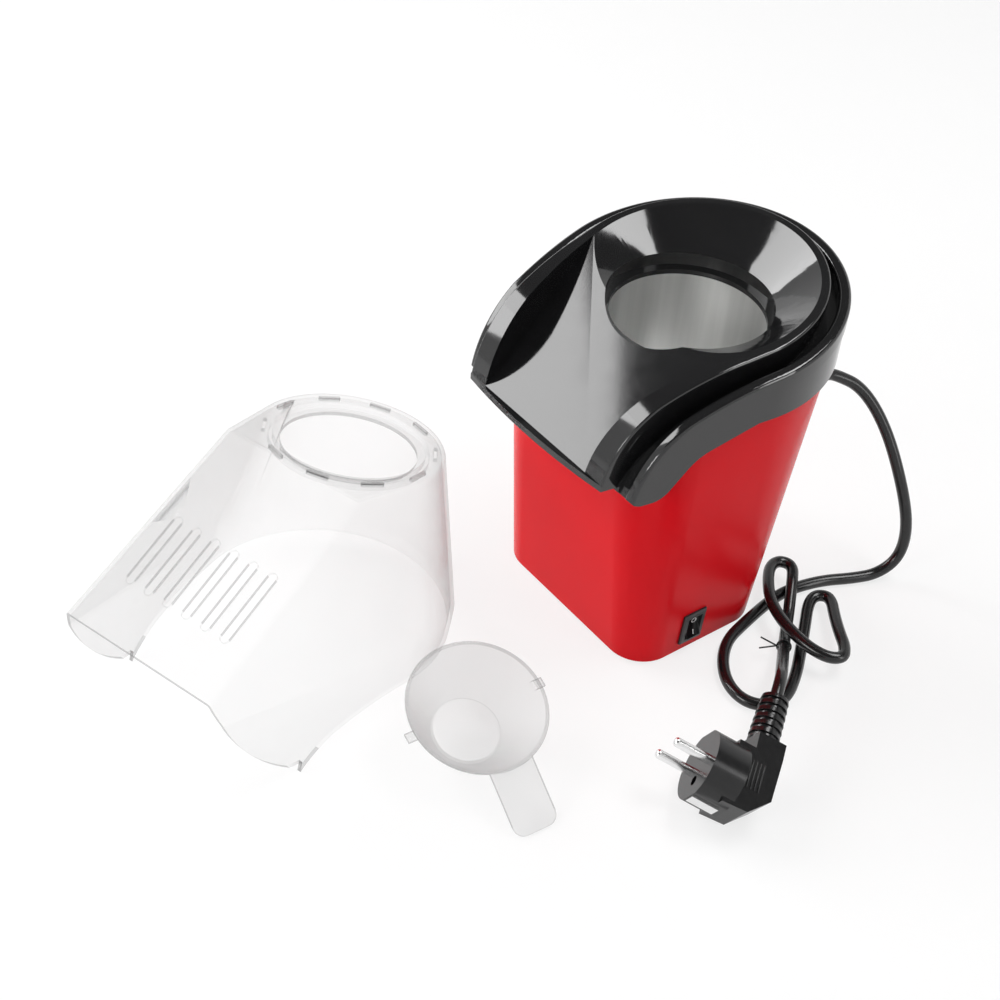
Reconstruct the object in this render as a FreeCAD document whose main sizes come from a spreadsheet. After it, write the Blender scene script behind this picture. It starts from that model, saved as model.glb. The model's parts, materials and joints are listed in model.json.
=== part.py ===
import FreeCAD, Part
import math
import os
import re
import Sketcher
from FreeCAD import Placement, Rotation, Vector

# Hot-air popcorn maker. Millimetres, +Z up, front (chute) towards -Y.
# The origin is the middle of the base, on the surface that it stands on.

doc = FreeCAD.newDocument("popcorn_maker")
sheet = doc.addObject("Spreadsheet::Sheet", "sizes")

driving_sizes = {
    # housing
    "axis_back": 12.5,
    "base_half_width": 59.5,
    "base_half_depth": 45.5,
    "base_corner": 20.0,
    "housing_lift": 1.0,
    "housing_height": 172.0,
    "housing_radius": 74.2,
    "housing_front": 74.5,
    "housing_front_corner": 35.0,
    "housing_back_flat": 6.0,
    "housing_wall": 2.4,
    "housing_tuck": 6.0,
    "toe_in": 8.8,
    # top cover
    "cover_gap": 0.3,
    "skirt_wall": 2.1,
    "groove_width": 4.8,
    "groove_depth": 8.0,
    "bead_width": 6.2,
    "bead_round": 2.0,
    "band_round": 1.2,
    "ledge_drop": 9.0,
    "ledge_depth": 0.6,
    "cover_wall": 2.6,
    "rim_radius": 60.5,
    "rim_height": 193.0,
    "rim_slope": 0.16,
    "rim_band": 5.2,
    "chute_toe_in": 13.6,
    "lip_reach": 93.0,
    "lip_height": 138.0,
    "lip_half_width": 50.9,
    "lip_bulge": 3.5,
    "lip_thickness": 3.5,
    "chute_slope": 0.68,
    "chute_gap": 0.4,
    "neck_radius": 42.2,
    "opening_radius": 39.6,
    "neck_height": 180.5,
    "neck_depth": 11.0,
    "nose_reach": 84.0,
    "nose_height": 132.0,
    "bead_drop": 6.6,
    "brow_mid_back": 9.0,
    "brow_mid_rise": 22.0,
    "brow_back": 27.0,
    "brow_rise": 38.8,
    "shoulder_mid_back": 43.0,
    "shoulder_mid_rise": 45.2,
    "shoulder_back": 73.0,
    "nose_length": 17.0,
    "nose_drop": 3.5,
    "step_length": 17.0,
    "step_rise": 18.5,
    "nose_round": 8.0,
    "heel_round": 12.0,
    "step_round": 25.0,
    "skirt_mid": 18.0,
    "skirt_mid_height": 159.5,
    "skirt_back_height": 166.0,
    # popping chamber and air duct
    "chamber_radius": 41.0,
    "chamber_wall": 1.0,
    "chamber_bottom": 96.0,
    "chamber_flange": 54.0,
    "duct_radius": 47.0,
    "duct_wall": 2.0,
    "duct_throat": 40.0,
    "duct_bottom": 52.0,
    "inlet_radius": 24.0,
    "vent_count": 20,
    "vent_height": 12.0,
    "vent_width": 2.2,
    # heater
    "mica_thickness": 1.2,
    "mica_span": 80.4,
    "mica_height": 14.0,
    "mica_bottom": 74.0,
    "coil_wire": 2.4,
    "coil_pitch": 5.0,
    "coil_half_turns": 12,
    "coil_start": 6.0,
    # fan and motor
    "fan_radius": 36.5,
    "fan_hub": 10.0,
    "fan_height": 11.0,
    "fan_bottom": 55.0,
    "blade_count": 8,
    "blade_thickness": 1.6,
    "shaft_radius": 1.15,
    "shaft_clearance": 0.05,
    "motor_radius": 13.9,
    "motor_length": 30.0,
    "motor_bottom": 20.0,
    "bracket_thickness": 2.0,
    "bracket_circle": 29.0,
    # base
    "base_wall": 2.5,
    "base_floor": 5.0,
    "base_gap": 0.3,
    "grille_radius": 27.0,
    "grille_slot": 3.4,
    "grille_pitch": 7.0,
    "post_radius": 4.5,
    "post_circle": 37.2,
    "screw_shank": 1.5,
    "screw_head": 2.9,
    "screw_head_height": 2.0,
    # rocker switch
    "switch_width": 15.0,
    "switch_height": 21.0,
    "switch_across": -9.5,
    "switch_up": 17.5,
    "bezel_rim": 1.8,
    "bezel_stand": 1.8,
    "switch_depth": 14.0,
    "switch_gap": 0.3,
    "rocker_tilt": 10.0,
    "pivot_radius": 1.0,
    # mains cord and plug
    "cord_diameter": 6.5,
    "gland_across": 25.0,
    "gland_up": 118.0,
    "gland_length": 20.0,
    "gland_radius": 6.5,
    "pin_diameter": 4.8,
    "pin_length": 19.0,
    "pin_spacing": 19.0,
    "plug_width": 37.0,
    "plug_height": 35.0,
    "plug_depth": 36.0,
    "plug_neck": 23.0,
    "relief_length": 27.0,
    "relief_radius": 7.0,
    "tie_wire": 0.9,
    "tie_tail": 10.0,
    # loose clear hood and measuring cup
    "hood_wall": 2.0,
    "hood_round": 3.0,
    "hood_height": 93.0,
    "hood_top_radius": 48.0,
    "hood_top_front": 44.0,
    "hood_lip_reach": 136.0,
    "hood_lip_height": 21.0,
    "hood_flap_reach": 82.5,
    "hood_flap_drop": 36.0,
    "hood_belly_reach": 114.0,
    "hood_belly_drop": 12.0,
    "hood_slot_share": 0.6,
    "hood_recess_radius": 38.5,
    "hood_recess_depth": 4.0,
    "hood_hole_radius": 34.5,
    "hood_slot_count": 6,
    "hood_slot_pitch": 12.0,
    "hood_slot_width": 5.0,
    "hood_slot_length": 40.0,
    "hood_vent_count": 10,
    "hood_turn": 17.0,
    "hood_across": -57.7,
    "hood_back": -164.3,
    "cup_rim_radius": 36.0,
    "cup_base_radius": 18.0,
    "cup_depth": 27.0,
    "cup_wall": 1.6,
    "cup_handle_length": 31.0,
    "cup_handle_width": 24.0,
    "cup_handle_droop": 17.5,
    "cup_turn": -4.0,
    "cup_across": 48.0,
    "cup_back": -146.0,
}

for row, (name, value) in enumerate(driving_sizes.items(), start=1):
    sheet.set("A%d" % row, name)
    sheet.set("B%d" % row, str(value))
    sheet.setAlias("B%d" % row, name)
doc.recompute()

size = {name: float(sheet.get(name)) for name in driving_sizes}
neck_bottom = size["neck_height"] - size["neck_depth"]
parts = []
up = Vector(0, 0, 1)
axis_y = size["axis_back"]


def keep(label, shape):
    """Adds a finished shape to the document as a sub-part."""
    piece = doc.addObject("Part::Feature", label)
    piece.Label = label
    piece.Shape = shape.removeSplitter()
    parts.append(piece)
    return piece


def keep_object(piece, label):
    """Names a finished document object as a sub-part."""
    piece.Label = label
    parts.append(piece)
    return piece


def bind(piece, **expressions):
    for prop, text in expressions.items():
        piece.setExpression(prop.replace("__", "."), text)
    return piece


def place(piece, across="0", back="0", height="0"):
    """Binds a piece's position to the sheet."""
    piece.setExpression(".Placement.Base.x", across)
    piece.setExpression(".Placement.Base.y", back)
    piece.setExpression(".Placement.Base.z", height)
    return piece


def primitive(kind, name, **expressions):
    return bind(doc.addObject("Part::" + kind, name), **expressions)


def cells(text):
    """Puts the sheet's name before each cell name of an expression."""
    return re.sub("[a-z_]+", lambda word: "sizes." + word.group(0), text)


def worked_out(text):
    """The present value of an expression of cells, found by the sheet itself."""
    sheet.set("D1", "=" + text)
    doc.recompute()
    return float(sheet.get("D1"))


def plane(body, role):
    return [item for item in body.Origin.OriginFeatures if item.Role == role][0]


def polygon_sketch(body, role, name, corners):
    """A closed outline whose corners are expressions of the sheet's cells."""
    sketch = body.newObject("Sketcher::SketchObject", name)
    sketch.AttachmentSupport = [(plane(body, role), "")]
    sketch.MapMode = "FlatFace"
    spots = [Vector(worked_out(x), worked_out(z), 0) for x, z in corners]
    count = len(spots)
    for index in range(count):
        sketch.addGeometry(Part.LineSegment(spots[index], spots[(index + 1) % count]), False)
    for index in range(count):
        sketch.addConstraint(Sketcher.Constraint("Coincident", index, 2, (index + 1) % count, 1))
    for index, (x, z) in enumerate(corners):
        for kind, text, value in (("DistanceX", x, spots[index].x), ("DistanceY", z, spots[index].y)):
            number = sketch.addConstraint(Sketcher.Constraint(kind, -1, 1, index, 1, value))
            sketch.setExpression("Constraints[%d]" % number, cells(text))
    return sketch


def revolved_body(label, corners):
    """A turned piece: its half section, spun about the machine's upright axis."""
    body = doc.addObject("PartDesign::Body", label + "_body")
    sketch = polygon_sketch(body, "XZ_Plane", label + "_section", corners)
    spin = body.newObject("PartDesign::Revolution", label + "_spin")
    spin.Profile = sketch
    spin.ReferenceAxis = (sketch, ["V_Axis"])
    spin.Angle = 360
    place(body, back="sizes.axis_back")
    doc.recompute()
    return body


def wire(*edges):
    return Part.Wire(list(edges))


def line(a, b):
    return Part.LineSegment(a, b).toShape()


def arc(a, b, c):
    return Part.Arc(a, b, c).toShape()


def side_prism(edges, half=130.0):
    """Extrudes a side-view outline (y, z) right across the machine."""
    face = Part.Face(wire(*edges))
    return face.extrude(Vector(2 * half, 0, 0)).translated(Vector(-half, 0, 0))


def side(y, z):
    """A point of a side-view outline; y is counted from the upright axis."""
    return Vector(0, axis_y + y, z)


def side_polygon(points):
    spots = [side(y, z) for y, z in points]
    return [line(a, b) for a, b in zip(spots, spots[1:] + spots[:1])]


def horseshoe_edges(radius, toe, front, height):
    """Plan outline: round back, straight sides that close in by the toe-in angle, flat front."""
    angle = math.radians(toe)
    touch_x = radius * math.cos(angle)
    touch_y = -radius * math.sin(angle)
    front_x = (radius + front * -math.sin(angle)) / math.cos(angle)
    right, left = Vector(touch_x, axis_y + touch_y, height), Vector(-touch_x, axis_y + touch_y, height)
    front_right, front_left = Vector(front_x, axis_y - front, height), Vector(-front_x, axis_y - front,
                                                                              height)
    back = Vector(0, axis_y + radius, height)
    return front_left, front_right, right, back, left


def horseshoe(radius, toe, front, low=0.0, high=320.0):
    """A prism on the horseshoe plan."""
    front_left, front_right, right, back, left = horseshoe_edges(radius, toe, front, low)
    outline = wire(line(front_left, front_right), line(front_right, right),
                   arc(right, back, left), line(left, front_left))
    return Part.Face(outline).extrude(Vector(0, 0, high - low))


def cylinder(radius, height, spot=Vector(0, 0, 0), direction=up):
    return Part.makeCylinder(radius, height, spot, direction)


def moved(shape, place_to):
    """A copy of a shape, carried from its own frame to its place."""
    copy = shape.copy()
    copy.Placement = place_to.multiply(copy.Placement)
    return copy


def lowest(shape):
    return shape.optimalBoundingBox(False, False).ZMin


def fuse(shapes):
    return shapes[0].multiFuse(shapes[1:]) if len(shapes) > 1 else shapes[0]


# Housing: a tapered shell, a rounded rectangle at the foot and a horseshoe at the top.


def housing_section(inset, height_share):
    """The outline at the foot (0) or at the top (1), moved in by the wall."""
    height = size["housing_lift"] + (size["housing_height"] - size["housing_lift"]) * height_share
    if height_share == 0:
        half_x, half_y = size["base_half_width"] - inset, size["base_half_depth"] - inset
        corner = size["base_corner"] - inset
        front_y, back_y, toe, flat = -half_y, half_y, 0.0, 2 * (half_x - corner)
        back_radius, front_corner = corner, corner
        side_x = half_x
    else:
        back_radius = size["housing_radius"] - inset - size["housing_back_flat"] / 2
        flat = size["housing_back_flat"]
        toe = math.radians(size["toe_in"])
        front_y, back_y = axis_y - size["housing_front"] + inset, axis_y + back_radius
        front_corner = size["housing_front_corner"] - inset
        side_x = back_radius + flat / 2
    centre_y = back_y - back_radius
    slope_c, slope_s = math.cos(toe), math.sin(toe)
    # back corner, from the side's tangent point round to the back
    hub = Vector(flat / 2, centre_y, height)
    side_touch = hub + Vector(back_radius * slope_c, -back_radius * slope_s, 0)
    mid_angle = (math.pi / 2 - toe) / 2
    back_mid = hub + Vector(back_radius * math.cos(mid_angle), back_radius * math.sin(mid_angle), 0)
    back_touch = hub + Vector(0, back_radius, 0)
    # front corner: tangent to the leaning side and to the flat front
    pin_y = front_y + front_corner
    pin_x = (back_radius - front_corner - slope_s * (centre_y - pin_y)) / slope_c + flat / 2
    pin = Vector(pin_x, pin_y, height)
    front_touch = pin + Vector(front_corner * slope_c, -front_corner * slope_s, 0)
    low_angle = -(math.pi / 2 + toe) / 2
    front_mid = pin + Vector(front_corner * math.cos(low_angle), front_corner * math.sin(low_angle), 0)
    front_end = pin + Vector(0, -front_corner, 0)

    def mirror(spot):
        return Vector(-spot.x, spot.y, spot.z)
    return wire(
        line(mirror(front_end), front_end), arc(front_end, front_mid, front_touch),
        line(front_touch, side_touch), arc(side_touch, back_mid, back_touch),
        line(back_touch, mirror(back_touch)), arc(mirror(back_touch), mirror(back_mid), mirror(side_touch)),
        line(mirror(side_touch), mirror(front_touch)),
        arc(mirror(front_touch), mirror(front_mid), mirror(front_end)))


def housing_block(inset):
    return Part.makeLoft([housing_section(inset, 0), housing_section(inset, 1)], True, True)


# Side-view lines of the top cover. Each is counted from the upright axis.
back_end = 95.0
groove_inner = size["rim_radius"] + size["rim_band"]
groove_outer = groove_inner + size["groove_width"]
cover_radius = groove_outer + size["bead_width"]


def rim_line(y):
    return size["rim_height"] + size["rim_slope"] * y


def rise(reach, height, drop, close):
    """The S-curve that climbs from the front to the sloping rim, closed by the given edges."""
    start = side(-reach, height)
    brow_mid = side(size["brow_mid_back"] - reach, height + size["brow_mid_rise"])
    brow = side(size["brow_back"] - reach, height + size["brow_rise"])
    shoulder_mid = side(size["shoulder_mid_back"] - reach, height + size["shoulder_mid_rise"])
    shoulder_y = size["shoulder_back"] - reach
    shoulder = side(shoulder_y, rim_line(shoulder_y) - drop)
    finish = side(back_end, rim_line(back_end) - drop)
    edges = [arc(start, brow_mid, brow), arc(brow, shoulder_mid, shoulder), line(shoulder, finish)]
    corners = [finish] + [side(y, z) for y, z in close] + [start]
    return edges + [line(a, b) for a, b in zip(corners, corners[1:])]


def skirt_line(lift):
    """The lower edge of the cover's skirt, front to back, with its two hanging noses."""
    toe = -size["nose_reach"]
    heel = toe + size["nose_length"]
    step = heel + size["step_length"]
    low = size["nose_height"] - size["nose_drop"] + lift
    return [(heel, low), (step, low + size["step_rise"] + size["nose_drop"] / 2),
            (-size["skirt_mid"], size["skirt_mid_height"] + lift),
            (back_end, size["skirt_back_height"] + lift)]


def soften(prism, corners):
    """Rounds the cross edges of a side-view prism at the given corners (y, z, radius)."""
    for y, z, radius in corners:
        spot = side(y, z)
        cross = [edge for edge in prism.Edges
                 if all(abs(end.Y - spot.y) < 1e-4 and abs(end.Z - spot.z) < 1e-4 for end in edge.Vertexes)]
        prism = prism.makeFillet(radius, cross)
    return prism


def plan_radius(spot):
    """The radius of the horseshoe plan that passes through a point."""
    x, y = abs(spot.x), spot.y - axis_y
    angle = math.radians(size["toe_in"])
    if math.atan2(y, x) > -angle:
        return math.hypot(x, y)
    return x * math.cos(angle) - y * math.sin(angle)


def upper_edges(shape, radius):
    """The edges along the top of a wall that follows the horseshoe plan."""
    chosen = []
    for edge in shape.Edges:
        spots = edge.discretize(Number=5)
        if max(abs(plan_radius(spot) - radius) for spot in spots) > 0.03:
            continue
        if (spots[0] - spots[-1]).cross(up).Length < 0.02:
            continue
        middle = spots[2]
        outward = Vector(middle.x, middle.y - axis_y, 0).normalize()
        beside = [middle + outward * way - up * 0.6 for way in (-0.4, 0.4)]
        if not shape.isInside(middle + up * 0.6, 1e-4, True) and any(shape.isInside(b, 1e-4,
                                                                                    True) for b in beside):
            chosen.append(edge)
    return chosen


def make_top_cover():
    wall = size["cover_wall"]
    toe = size["toe_in"]
    lip_front = size["lip_reach"] + size["lip_bulge"]
    lip_under = size["lip_height"] - size["lip_thickness"]
    nose = size["nose_reach"]
    nose_low = size["nose_height"] - size["nose_drop"]

    # outer band and groove floor
    band = side_prism(rise(nose, size["nose_height"], size["bead_drop"],
                           list(reversed(skirt_line(0))) + [(-nose + size["nose_drop"], nose_low)]))
    heel, step = skirt_line(0)[0], skirt_line(0)[1]
    band = soften(band, [(-nose + size["nose_drop"], nose_low, size["nose_round"]),
                         (heel[0], heel[1], size["heel_round"]), (step[0], step[1], size["step_round"])])
    outer = horseshoe(cover_radius, toe, nose + 1).common(band)

    # inner block that carries the funnel and the chute
    deck = side_prism(rise(size["lip_reach"], size["lip_height"], 0,
                           [(back_end, neck_bottom - 14), (-40, neck_bottom - 14),
                            (-66, lip_under), (-lip_front - 1, lip_under),
                            (-lip_front - 1, size["lip_height"])]))
    front_left, front_right, right, back, left = horseshoe_edges(groove_inner, toe, size["lip_reach"], 0)
    lip_tip = Vector(0, axis_y - lip_front, 0)
    plan = Part.Face(wire(arc(front_left, lip_tip, front_right), line(front_right, right),
                          arc(right, back, left), line(left, front_left))).extrude(Vector(0, 0, 320))
    block = plan.common(deck)
    cover = outer.fuse(block)

    # groove that takes the hood's lower edge
    groove_low = size["groove_depth"]
    groove_air = side_prism(rise(nose, size["nose_height"] - groove_low, size["bead_drop"] + groove_low,
                                 [(back_end, 300), (-nose - 20, 300),
                                  (-nose - 20, size["nose_height"] - groove_low)]))
    groove = horseshoe(groove_outer, toe, nose + 20).cut(horseshoe(groove_inner, toe, nose + 21))
    cover = cover.cut(groove.common(groove_air))

    # chute: everything above its sloping floor, between the side walls
    foot = -size["lip_reach"]
    crest = rim_line(0) + 12
    floor_end = foot + (crest - size["lip_height"]) / size["chute_slope"]
    chute_air = side_prism(side_polygon([(foot, size["lip_height"]), (floor_end, crest), (floor_end, 300),
                                         (foot - 30, 300), (foot - 30, size["lip_height"])]))
    cover = cover.cut(horseshoe(size["rim_radius"], size["chute_toe_in"],
                                size["lip_reach"] + 12).common(chute_air))

    # funnel: level neck below, sloping rim above
    centre = Vector(0, axis_y, 0)
    tilt = Vector(0, -size["rim_slope"], 1)
    low_ring = Part.Wire(Part.makeCircle(size["neck_radius"], centre + up * size["neck_height"], up))
    reach_on = 1.2
    flare = size["neck_radius"] + reach_on * (size["rim_radius"] - size["neck_radius"])
    flare_height = size["neck_height"] + reach_on * (size["rim_height"] - size["neck_height"])
    high_ring = Part.Wire(Part.makeCircle(flare, centre + up * flare_height, tilt))
    cover = cover.cut(Part.makeLoft([low_ring, high_ring], True, True))
    cover = cover.cut(cylinder(size["neck_radius"], size["neck_depth"] - wall + 0.01,
                               centre + up * (neck_bottom + wall)))
    cover = cover.cut(cylinder(size["opening_radius"], 60, centre + up * (neck_bottom - 20)))

    # hollow underside
    under = size["chute_slope"] * wall + wall
    deck_y = foot + (neck_bottom - size["lip_height"] + under) / size["chute_slope"]
    inside_line = side_prism(side_polygon([(foot - 20, size["lip_height"] - under - 20 * size["chute_slope"]),
                                           (deck_y, neck_bottom), (back_end, neck_bottom),
                                           (back_end, 0), (foot - 20, 0)]))
    cover = cover.cut(horseshoe(groove_inner - wall, toe, size["lip_reach"] - wall).common(inside_line))
    ring_air = side_prism(rise(nose, size["nose_height"] - groove_low - wall,
                               size["bead_drop"] + groove_low + wall,
                               [(back_end, 0), (-nose, 0)]))
    ring = horseshoe(cover_radius - size["skirt_wall"], toe, nose - wall).cut(horseshoe(groove_inner, toe,
                                                                                        nose))
    cover = cover.cut(ring.common(ring_air)).removeSplitter()

    # ledge along the outside of the band
    ledge = size["ledge_drop"]
    below_ledge = side_prism(rise(nose, size["nose_height"] - ledge, size["bead_drop"] + ledge,
                                  [(back_end, 0), (-nose, 0)]))
    skin = horseshoe(cover_radius + 1, toe, nose + 2).cut(horseshoe(cover_radius - size["ledge_depth"], toe,
                                                                    nose + 3))
    cover = cover.cut(skin.common(below_ledge)).removeSplitter()

    # soft upper edges on both sides of the groove
    for radius, soft in ((cover_radius, size["bead_round"]), (groove_outer, size["bead_round"]),
                         (groove_inner, size["band_round"])):
        cover = cover.makeFillet(soft, upper_edges(cover, radius))
    return cover


top_cover = make_top_cover()
keep("top_cover", top_cover)


def wall_point(block, start, direction):
    """Where a straight probe leaves a block."""
    probe = Part.makeLine(start, start + direction * 150)
    inside = block.common(probe)
    return max((vertex.Point for vertex in inside.Vertexes), key=lambda spot: (spot - start).dot(direction))


def make_housing():
    outer = housing_block(0)
    shell = outer.cut(housing_block(size["housing_wall"]))
    tuck = size["housing_tuck"]
    lip_under = size["lip_height"] - size["lip_thickness"]
    edge = skirt_line(tuck)
    edge[0] = (edge[0][0], lip_under - 1)
    below = side_prism(side_polygon([(-110, -5), (-110, lip_under - 1)] + edge + [(back_end, -5)]))
    front_top = size["lip_height"] + 9
    front_half = size["lip_half_width"] - 5
    panel = Part.makeBox(2 * front_half, 40, front_top, Vector(-front_half,
                                                               axis_y - size["housing_front"] - 2, 0))
    shell = shell.common(below.fuse(panel))
    play = size["cover_gap"] / 2
    for shift in (Vector(0, 0, 0), Vector(play, 0, 0), Vector(-play, 0, 0), Vector(0, -play, 0)):
        shell = shell.cut(top_cover.translated(shift))
    return outer, shell


housing_outer, housing_shell = make_housing()

# Rocker switch on the right-hand wall. Its own frame has X straight out of the wall.
switch_spot = Vector(0, size["switch_across"], size["switch_up"])
switch_low = wall_point(housing_outer, switch_spot - up * 8, Vector(1, 0, 0))
switch_high = wall_point(housing_outer, switch_spot + up * 8, Vector(1, 0, 0))
switch_lean = math.degrees(math.atan2(switch_high.x - switch_low.x, 16))
switch_frame_place = Placement((switch_low + switch_high) * 0.5, Rotation(Vector(0, 1, 0), switch_lean))
switch_gap = size["switch_gap"]
bezel_y, bezel_z = size["switch_width"], size["switch_height"]
body_y, body_z = bezel_y - 2 * size["bezel_rim"], bezel_z - 2 * size["bezel_rim"]
shell_wall = 1.0


def block_at(low_x, high_x, width, height):
    return Part.makeBox(high_x - low_x, width, height, Vector(low_x, -width / 2, -height / 2))


def in_switch(shape):
    return moved(shape, switch_frame_place)


pivot_x = -2.6
stand = size["bezel_stand"]
frame_shape = block_at(0.05, stand, bezel_y, bezel_z).fuse(block_at(-size["switch_depth"], 0.06, body_y,
                                                                    body_z))
frame_shape = frame_shape.makeChamfer(0.7, [edge for edge in frame_shape.Edges
                                            if abs(edge.BoundBox.XMin - stand) < 1e-6 and edge.BoundBox.XLength < 1e-6])
well = block_at(-size["switch_depth"] + 2, stand + 1, body_y - 2 * shell_wall, body_z - 2 * shell_wall)
pin_hole = cylinder(size["pivot_radius"] + size["shaft_clearance"], body_y - 0.6,
                    Vector(pivot_x, -(body_y - 0.6) / 2, 0), Vector(0, 1, 0))
keep("switch_frame", in_switch(frame_shape.cut(well).cut(pin_hole)))

rocker_y = body_y - 2 * shell_wall - 2 * switch_gap
rocker_z = body_z - 2 * shell_wall - 1.4
rocker_face = 0.8
rocker_rise = rocker_z / 2 * math.tan(math.radians(size["rocker_tilt"]))


def rocker_point(x, z):
    return Vector(x, -rocker_y / 2, z)


rocker_outline = Part.makePolygon([
    rocker_point(rocker_face, 0), rocker_point(rocker_face + rocker_rise, rocker_z / 2),
    rocker_point(-4.5, rocker_z / 2 - 1.6), rocker_point(-4.5, 1.6 - rocker_z / 2),
    rocker_point(rocker_face + rocker_rise, -rocker_z / 2), rocker_point(rocker_face, 0)])
rocker_shape = Part.Face(rocker_outline).extrude(Vector(0, rocker_y, 0))
rocker_pin = cylinder(size["pivot_radius"], body_y - 0.9, Vector(pivot_x, -(body_y - 0.9) / 2, 0),
                      Vector(0, 1, 0))
rocker_shape = rocker_shape.fuse(rocker_pin)
rocker_shape.rotate(Vector(pivot_x, 0, 0), Vector(0, 1, 0), -size["rocker_tilt"])
keep("switch_rocker", in_switch(rocker_shape))

blade = Part.makeBox(8, 4.8, 0.8, Vector(-size["switch_depth"] - 8, -2.4, -0.4))
keep("switch_terminals", in_switch(Part.makeCompound([blade.translated(up * 5), blade.translated(up * -5)])))

cutout = in_switch(block_at(-8, 8, body_y + 0.2, body_z + 0.2))
gland_spot = Vector(size["gland_across"], 0, size["gland_up"])
gland_wall = wall_point(housing_outer, gland_spot, Vector(0, 1, 0))
gland_hole = cylinder(size["gland_radius"] - 1.9, 40, gland_wall - Vector(0, 20, 0), Vector(0, 1, 0))
keep("housing", housing_shell.cut(cutout).cut(gland_hole))


# Base plate: a tray that stands on its own rim, with the air intake grille and four posts.


def rounded_plate(inset, low, high):
    half_x = size["base_half_width"] - inset
    half_y = size["base_half_depth"] - inset
    corner = size["base_corner"] - inset
    plate = Part.makeBox(2 * half_x, 2 * half_y, high - low, Vector(-half_x, -half_y, low))
    upright = [edge for edge in plate.Edges if edge.BoundBox.ZLength > 0.5 * (high - low)]
    return plate.makeFillet(corner, upright)


def post_spots():
    """Four places round the upright axis, clear of the housing's foot."""
    turns = [math.radians(angle) for angle in (30, 150, 210, 330)]
    circle = size["post_circle"]
    return [Vector(circle * math.cos(turn), axis_y + circle * math.sin(turn), 0) for turn in turns]


def make_base_plate():
    outside = size["housing_wall"] + size["base_gap"]
    inside = outside + size["base_wall"]
    top = size["base_floor"]
    under = top - size["base_wall"]
    tray = rounded_plate(outside, 0, top + 4)
    tray = tray.cut(rounded_plate(inside, top, top + 5)).cut(rounded_plate(inside, -1, under))
    notch = Part.makeBox(30, 20, under, Vector(-15, size["base_half_depth"] - 15, 0))
    tray = tray.cut(notch)
    middle = Vector(0, 0, 0)
    reach = size["grille_radius"]
    count = int(reach / size["grille_pitch"])
    for step in range(-count, count + 1):
        y = step * size["grille_pitch"]
        half = math.sqrt(reach * reach - y * y)
        tray = tray.cut(Part.makeBox(2 * half, size["grille_slot"], 8,
                                     middle + Vector(-half, y - size["grille_slot"] / 2, under - 1)))
    rib = Part.makeBox(5, 2 * reach, size["base_wall"], middle + Vector(-2.5, -reach, under))
    posts = [cylinder(size["post_radius"], size["duct_bottom"] - under,
                      spot + up * under) for spot in post_spots()]
    tray = fuse([tray, rib] + posts)
    for spot in post_spots():
        tray = tray.cut(cylinder(size["screw_shank"], size["duct_bottom"], spot))
        tray = tray.cut(cylinder(size["screw_head"] + 0.3, under + size["screw_head_height"],
                                 spot - up * 0.01))
    return tray


keep("base_plate", make_base_plate())


def screw(spot, length, direction):
    """A pan-head screw: its head starts at the spot and its shank follows the direction."""
    head = cylinder(size["screw_head"], size["screw_head_height"],
                    spot - direction * size["screw_head_height"], direction)
    return head.fuse(cylinder(size["screw_shank"], length, spot, direction))


seat = size["base_floor"] - size["base_wall"] + size["screw_head_height"]
keep("base_screws", Part.makeCompound(
    [screw(spot + up * seat, size["duct_bottom"] + size["duct_wall"] - seat, up) for spot in post_spots()]))

# Air duct, popping chamber and motor are turned pieces.
duct = revolved_body("air_duct", [
    ("inlet_radius", "duct_bottom"), ("duct_throat + duct_wall", "duct_bottom"),
    ("duct_throat + duct_wall", "mica_bottom - 2"), ("duct_radius + duct_wall", "chamber_bottom - 4"),
    ("duct_radius + duct_wall", "neck_height - neck_depth - 3.5"),
    ("chamber_flange + 2", "neck_height - neck_depth - 3.5"),
    ("chamber_flange + 2", "neck_height - neck_depth - 1.5"),
    ("duct_radius", "neck_height - neck_depth - 1.5"),
    ("duct_radius", "chamber_bottom - 3.5"), ("duct_throat", "mica_bottom - 1.5"),
    ("duct_throat", "duct_bottom + duct_wall"), ("inlet_radius", "duct_bottom + duct_wall")])

def screw_hole(body, name, circle, angle, count):
    """Holes through the duct's floor on a circle round the axis."""
    hole = body.newObject("PartDesign::SubtractiveCylinder", name)
    bind(hole, Radius="sizes.screw_shank", Height="sizes.duct_wall * 3")
    hole.setExpression(".Placement.Base.x", "sizes.%s * cos(%d)" % (circle, angle))
    hole.setExpression(".Placement.Base.y", "sizes.%s * sin(%d)" % (circle, angle))
    hole.setExpression(".Placement.Base.z", "sizes.duct_bottom - sizes.duct_wall")
    doc.recompute()
    ring = body.newObject("PartDesign::PolarPattern", name + "s")
    ring.Originals = [hole]
    ring.Axis = (plane(body, "Z_Axis"), [""])
    ring.Angle = 360
    ring.Occurrences = count
    body.Tip = ring
    doc.recompute()


def clear_chute(body, name):
    """Trims a turned piece below the sloping underside of the chute."""
    wedge = body.newObject("PartDesign::SubtractiveBox", name)
    wedge.Length, wedge.Width, wedge.Height = 200, 150, 60
    wedge.Placement = Placement(Vector(-100, 0, 0), Rotation(Vector(1, 0, 0), 30))
    wedge.setExpression(".Placement.Rotation.Angle", "atan(sizes.chute_slope)")
    wedge.setExpression(".Placement.Base.y", "0 - sizes.lip_reach")
    wedge.setExpression(".Placement.Base.z",
                        "sizes.lip_height - sizes.cover_wall * (sizes.chute_slope + 1) - sizes.chute_gap")
    body.Tip = wedge
    doc.recompute()


clear_chute(duct, "duct_clearance")
screw_hole(duct, "right_post_hole", "post_circle", 30, 2)
screw_hole(duct, "left_post_hole", "post_circle", 150, 2)
screw_hole(duct, "bracket_hole", "bracket_circle", 0, 3)

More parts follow.
